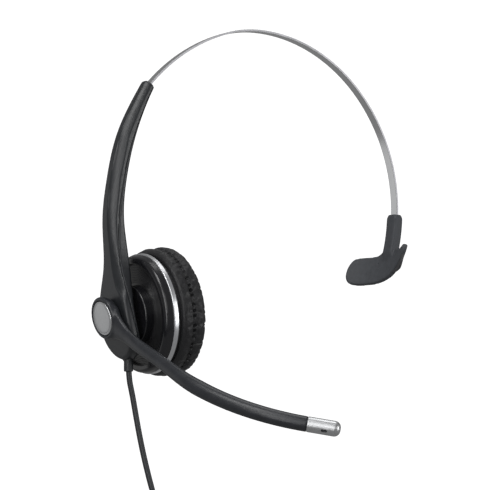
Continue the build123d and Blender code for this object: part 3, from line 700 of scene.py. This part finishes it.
# The lip is what lies below this height and outside this radius, and the seam what is this near it
LIP_TOP = 27.3
LIP_FROM = 16.0
SEAM_NEAR = 0.8
SEAM_HOLD = 0.85
# The simulation runs on a larger copy, for this many frames, and moves no point further than this
SIM_SCALE = 8.0
SIM_FRAMES = 20
FURTHEST = 0.0009
# Pleats past the seam, folds before it, their depths in mm, and the seeds they are drawn with
PLEATS = 58
FOLDS = 26
SEAM_DEPTH = 0.55
PLEAT_RISE = 0.25
PLEAT_DEPTH = 1.25
FOLD_DEPTH = 0.55
GATHER_DEPTH = 0.16
UNEVEN_SEED = 11
PLEAT_SEED = 5


def smooth_ring(points, rounds):
    """Corner cutting of a closed outline."""
    for _ in range(rounds):
        cut = []
        for index, (x0, y0) in enumerate(points):
            x1, y1 = points[(index + 1) % len(points)]
            cut.append((0.75 * x0 + 0.25 * x1, 0.75 * y0 + 0.25 * y1))
            cut.append((0.25 * x0 + 0.75 * x1, 0.25 * y0 + 0.75 * y1))
        points = cut
    return points


def cup_coordinates(point):
    """Radius, turn and height about the cup's axis, in mm."""
    local = point / MM - PIVOT
    height = local.dot(CUP_Z)
    x, y = local.dot(CUP_X), local.dot(CUP_Y)
    return math.hypot(x, y), math.atan2(y, x), height


def from_seam(radius, height):
    """Distance from the seam in the cushion's section."""
    return math.hypot(radius - SEAM_AT[0], height - SEAM_AT[1])


def inflate(made):
    """Cloth simulation of the cover, held at its mounting lip and sewn seam."""
    rest = [v.co.copy() for v in made.data.vertices]
    hold = made.vertex_groups.new(name="hold")
    for index, point in enumerate(rest):
        radius, _, height = cup_coordinates(point)
        lip = height < LIP_TOP and radius > LIP_FROM
        seam = from_seam(radius, height) < SEAM_NEAR
        weight = 1.0 if lip else (SEAM_HOLD if seam else 0.0)
        if weight:
            hold.add([index], weight, "REPLACE")
    centre = PIVOT * MM
    for vertex in made.data.vertices:
        vertex.co = (vertex.co - centre) * SIM_SCALE
    cloth = made.modifiers.new("cloth", "CLOTH")
    settings = cloth.settings
    settings.quality = 6
    settings.mass = 0.15
    settings.use_pressure = True
    settings.uniform_pressure_force = 4.0
    settings.shrink_min = -0.05
    settings.vertex_group_mass = "hold"
    settings.effector_weights.gravity = 0
    cloth.collision_settings.use_collision = False
    scene = bpy.context.scene
    for step in range(SIM_FRAMES):
        scene.frame_set(step + 1)
    settle(made)
    scene.frame_set(1)
    for vertex, before in zip(made.data.vertices, rest):
        move = vertex.co / SIM_SCALE + centre - before
        if move.length > FURTHEST:
            move = move.normalized() * FURTHEST
        vertex.co = before + move


def pleat(made):
    """Seam crease, gathered pleats past it, folds before it and gathers round the hole."""
    draw = random.Random(PLEAT_SEED)
    pleats = []
    for index in range(PLEATS):
        start = (index + draw.uniform(-0.22, 0.22)) / PLEATS * 2 * math.pi - math.pi
        strength, length, slant = draw.uniform(0.55, 1.0), draw.uniform(2.6, 7.0), draw.uniform(-0.05, 0.05)
        pleats.append((start, strength, length, slant))
    folds = []
    for _ in range(FOLDS):
        start, width = draw.uniform(-math.pi, math.pi), draw.uniform(0.02, 0.05)
        folds.append((start, width, draw.uniform(0.1, 0.3), draw.uniform(-0.35, 0.35)))
    normals = [v.normal.copy() for v in made.data.vertices]
    for vertex, normal in zip(made.data.vertices, normals):
        radius, turn, height = cup_coordinates(vertex.co)
        past = from_seam(radius, height)
        rise = -SEAM_DEPTH * bell(past, 0.55)
        if height > SEAM_AT[1] - 0.4 and radius < SEAM_AT[0] + 0.3:
            offs = [
                math.remainder(turn - start - slant * past / 3, 2 * math.pi)
                for start, _, _, slant in pleats
            ]
            nearest = min(range(PLEATS), key=lambda index: abs(offs[index]))
            _, strength, length, _ = pleats[nearest]
            fade = math.exp(-max(past - 0.3, 0) / length)
            rise += (PLEAT_RISE - PLEAT_DEPTH * bell(offs[nearest] * radius, 0.5)) * strength * fade
        elif 24.9 < height < SEAM_AT[1]:
            for start, width, depth, slant in folds:
                off = math.remainder(turn - start - slant * (height - 28) / 28, 2 * math.pi)
                rise -= depth * FOLD_DEPTH * bell(off, width) * bell(height - 29.6, 1.8)
        if radius < 19 and height > 29:
            wide = math.sin(turn * 31 + 1.7 * math.sin(turn * 5))
            gather = wide * 0.5 + math.sin(turn * 47 + 2) * 0.3
            rise += gather * GATHER_DEPTH * bell(radius - 15.2, 2.6)
        vertex.co += normal * rise * MM


def build_cushion():
    """Leatherette ear cushion."""
    outline = smooth_ring(CUSHION_SECTION, 1)
    count = len(outline)
    draw = random.Random(UNEVEN_SEED)
    vertices = []
    for row in range(CUSHION_TURNS):
        turn = 2 * math.pi * row / CUSHION_TURNS
        for radius, height in outline:
            loose = UNEVEN if height > LOOSE_FROM else 0.0
            radius += draw.uniform(-loose, loose)
            height += draw.uniform(-loose, loose)
            vertices.append(cup_mm(radius, turn, height))
    made = new_object("ear_cushion_cover", vertices, grid_faces(CUSHION_TURNS, count))
    outward(made)
    inflate(made)
    refine = made.modifiers.new("refine", "SUBSURF")
    refine.levels = 2
    settle(made)
    outward(made)
    pleat(made)
    finish_piece(made, "ear_cup", "leatherette", "ear_cushion")


build_cushion()


SCRIM_RADIUS = 13.2
SCRIM_CROWN = 0.55
SCRIM_ROUGH = 0.03
SCRIM_SEED = 3


def build_scrim():
    """Foam disc over the speaker, flat below and crowned above."""
    rings, turns = 30, 96
    draw = random.Random(SCRIM_SEED)
    vertices = []
    for level, base in ((0, 27.55), (1, 28.0)):
        for ring in range(rings):
            share = ring / (rings - 1)
            radius = max(SCRIM_RADIUS * share, 0.02)
            crown = SCRIM_CROWN * (1 - share ** 3) if level else 0.0
            for index in range(turns):
                rough = draw.uniform(-SCRIM_ROUGH, SCRIM_ROUGH) * level
                vertices.append(cup_mm(radius, 2 * math.pi * index / turns, base + crown + rough))
    faces = grid_faces(rings, turns, False)
    faces += [tuple(i + rings * turns for i in reversed(face)) for face in faces]
    edge = (rings - 1) * turns
    for index in range(turns):
        beside = (index + 1) % turns
        above = rings * turns
        faces.append((edge + index, edge + beside, edge + beside + above, edge + index + above))
    faces.append(tuple(range(turns)))
    faces.append(tuple(reversed(range(rings * turns, rings * turns + turns))))
    made = new_object("scrim_disc", vertices, faces)
    outward(made)
    finish_piece(made, "ear_cup", "scrim_foam", "speaker_scrim")


build_scrim()


# ---------------------------------------------------------------- temple piece

# Place of the pad about the band's centre, its roll, the radius it is wrapped to, its thickness
PAD_CENTRE_R = 81.15
PAD_TURN = math.radians(-21.2)
PAD_ROLL = math.radians(6)
PAD_WRAP = 32.0
PAD_THICK = 2.8
# The stem's middle radius, depth and half width, where it starts and how far it runs in degrees,
# the power that squares its section, and how far it sinks and rises where it meets the pad
STEM_MIDDLE = 80.95
STEM_DEEP = 5.4
STEM_HALF = 3.6
STEM_FROM = -1.6
STEM_RUN = 18.9
STEM_POWER = 0.32
STEM_SINK = 2.8
STEM_OUT = 1.1
STEM_FLARE = 2.4
PAD_OUT = Vector((math.cos(PAD_TURN), 0, math.sin(PAD_TURN)))
PAD_RISE = Vector((-math.sin(PAD_TURN), 0, math.cos(PAD_TURN)))
PAD_X = Vector((0, 1, 0)) * math.cos(PAD_ROLL) - PAD_RISE * math.sin(PAD_ROLL)
PAD_Y = PAD_OUT.cross(PAD_X)
# Small moulded dimples on the inner face, each darkened inside with painted shade: back, up, and reach, in
# mm
MARKS = ((4.2, 8.2, 0.75), (5.6, 3.2, 0.45))
MARK_DEPTH = 0.25
# Outline of the pad: millimetres back from its middle, and up
PAD_OUTLINE = (
    (21.2, 4.4), (19.4, 5.9), (13.5, 7.0), (8.6, 7.2), (6.2, 8.0), (4.6, 9.8),
    (3.6, 12.0), (-1.0, 11.0), (-3.4, 9.4), (-7.5, 8.9), (-12.0, 8.9), (-15.6, 9.5),
    (-17.4, 9.4), (-17.6, 7.6), (-15.2, 3.8), (-11.8, 0.4), (-8.4, -2.4), (-5.0, -4.3),
    (-1.0, -5.7), (4.0, -6.9), (10.0, -7.6), (16.0, -8.0), (20.2, -7.9), (22.6, -6.0),
    (23.3, -2.4), (22.6, 1.6),
)


def pad_point(back_mm, up_mm, out_mm):
    """Point on the wrapped pad: back, up and out from its middle surface, in metres."""
    turn = back_mm / PAD_WRAP
    radius = PAD_WRAP + out_mm
    outward_mm = radius * math.cos(turn) - PAD_WRAP
    local = PAD_X * (radius * math.sin(turn)) + PAD_Y * up_mm + PAD_OUT * outward_mm
    return (RING_CENTRE + PAD_OUT * PAD_CENTRE_R + local) * MM


def plate():
    """The pad as a flat block that is then wrapped round the temple."""
    outline = smooth_ring(PAD_OUTLINE, 2)
    count = len(outline)
    vertices = [(x, y, side * (PAD_THICK / 2 - 0.1)) for side in (-1, 1) for x, y in outline]
    faces = [tuple(range(count)), tuple(range(2 * count - 1, count - 1, -1))]
    faces += [(i, (i + 1) % count, (i + 1) % count + count, i + count) for i in range(count)]
    made = new_object("temple_plate", vertices, faces)
    outward(made)
    blocky = made.modifiers.new("blocky", "REMESH")
    blocky.mode = "VOXEL"
    blocky.voxel_size = 0.6
    settle(made)
    for vertex in made.data.vertices:
        vertex.co = pad_point(*vertex.co)
    return made


def stem():
    """Stem along the band's arc, flared on its back edge where it meets the pad."""
    rings, around = 40, 32
    vertices = []
    for ring in range(rings):
        share = ring / (rings - 1)
        turn = math.radians(STEM_FROM - STEM_RUN * share)
        flare = max(0.0, (share - 0.62) / 0.38) ** 2.2
        taper = min(1.0, 0.78 + 3.2 * share)
        sink = unit((share - 0.72) / 0.26)
        depth = STEM_DEEP * taper - STEM_SINK * sink
        middle = STEM_MIDDLE + STEM_OUT * sink
        for index in range(around):
            angle = 2 * math.pi * index / around
            c, s = math.cos(angle), math.sin(angle)
            across = math.copysign(abs(c) ** STEM_POWER, c)
            through = math.copysign(abs(s) ** STEM_POWER, s)
            half = STEM_HALF * taper + (STEM_FLARE if across > 0 else 0.1) * flare
            radius = middle + through * depth / 2
            point = Vector((radius * math.cos(turn), across * half, radius * math.sin(turn)))
            vertices.append((RING_CENTRE + point) * MM)
    faces = grid_faces(rings, around, False)
    faces.append(tuple(range(around)))
    faces.append(tuple(reversed(range((rings - 1) * around, rings * around))))
    made = new_object("temple_stem", vertices, faces)
    outward(made)
    return made


def build_temple():
    """Rubber temple piece, plate and stem moulded as one."""
    first, second = plate(), stem()
    joined = bmesh.new()
    joined.from_mesh(first.data)
    joined.from_mesh(second.data)
    mesh = bpy.data.meshes.new("temple_overmould")
    joined.to_mesh(mesh)
    joined.free()
    for used in (first, second):
        bpy.data.objects.remove(used)
    made = bpy.data.objects.new("temple_overmould", mesh)
    bpy.context.scene.collection.objects.link(made)
    joining = made.modifiers.new("joining", "REMESH")
    joining.mode = "VOXEL"
    joining.voxel_size = 0.00042
    rounding = made.modifiers.new("rounding", "SMOOTH")
    rounding.factor = 0.5
    rounding.iterations = 8
    settle(made)
    outward(made)
    for back_mm, up_mm, reach in MARKS:
        middle = pad_point(back_mm, up_mm, -PAD_THICK / 2)
        # Painted shade: the rubber is taken near-black inside this dimple
        paint_shade_spot(MATERIALS["temple_rubber"], middle, reach * MM)
        for vertex in made.data.vertices:
            away = (vertex.co - middle).length / MM
            vertex.co += PAD_OUT * MARK_DEPTH * bell(away, reach) * MM
    finish_piece(made, "headband", "temple_rubber", "temple_pad")


build_temple()


# ---------------------------------------------------------------- floor and light

FLOOR_Z = -0.34
FLOOR_REACH = 6.0
FLOOR_RISE = 2.8
FLOOR_FLAT = 0.7


def build_floor():
    """Pale round floor whose far edge turns up."""
    rings, turns = 26, 96
    vertices = []
    for ring in range(rings):
        share = ring / (rings - 1)
        reach = 0.0005 + FLOOR_REACH * share
        rise = FLOOR_RISE * max(0.0, (share - FLOOR_FLAT) / 0.3) ** 2
        for index in range(turns):
            angle = 2 * math.pi * index / turns
            vertices.append((reach * math.cos(angle), reach * math.sin(angle), FLOOR_Z + rise))
    faces = grid_faces(rings, turns, False)
    faces.append(tuple(range(turns)))
    floor = new_object("floor", vertices, faces)
    material, tree, shader, place = shader_for("floor_paint")
    clouds = noise(tree, place, 3, 3)
    tint(tree, shader, clouds, (0.86, 0.86, 0.865), (0.90, 0.90, 0.905))
    shader.inputs["Roughness"].default_value = 0.85
    shader.inputs["Emission Color"].default_value = (1, 1, 1, 1)
    shader.inputs["Emission Strength"].default_value = 0.9
    floor.data.materials.append(material)
    # The bright surround is what the camera sees; the softboxes light the object
    floor.visible_diffuse = False
    floor.visible_glossy = False


build_floor()


LIT_POINT = Vector((0, 0, -0.12))
# Place in metres, width and height in metres, and power in watts
SOFTBOXES = {
    "key_light": ((-0.95, -0.45, 1.15), (0.6, 0.8), 8),
    "left_strip": ((-1.1, -0.72, 0.0), (0.25, 1.3), 4.4),
    "front_light": ((0.8, -1.15, -0.12), (0.4, 0.8), 5.5),
    "wide_light": ((-0.95, -1.25, 0.25), (1.0, 1.0), 3.6),
    "cap_light": ((-0.75, 1.05, -0.15), (0.7, 0.9), 0.62),
    "top_light": ((0.3, 0.1, 1.2), (0.6, 0.6), 2.6),
}
SURROUND = 0.22


def light_studio():
    """Rectangular softboxes aimed at the object, in a dim white surround."""
    for name, (place, size, power) in SOFTBOXES.items():
        data = bpy.data.lights.new(name, "AREA")
        data.shape = "RECTANGLE"
        data.size, data.size_y = size
        data.energy = power
        made = bpy.data.objects.new(name, data)
        made.location = place
        made.rotation_mode = "QUATERNION"
        made.rotation_quaternion = (LIT_POINT - Vector(place)).to_track_quat("-Z", "Y")
        bpy.context.scene.collection.objects.link(made)
    world = bpy.data.worlds.new("studio")
    world.use_nodes = True
    background = world.node_tree.nodes["Background"]
    background.inputs["Color"].default_value = (1, 1, 1, 1)
    background.inputs["Strength"].default_value = SURROUND
    bpy.context.scene.world = world
    bpy.context.scene.view_settings.view_transform = "Standard"


light_studio()
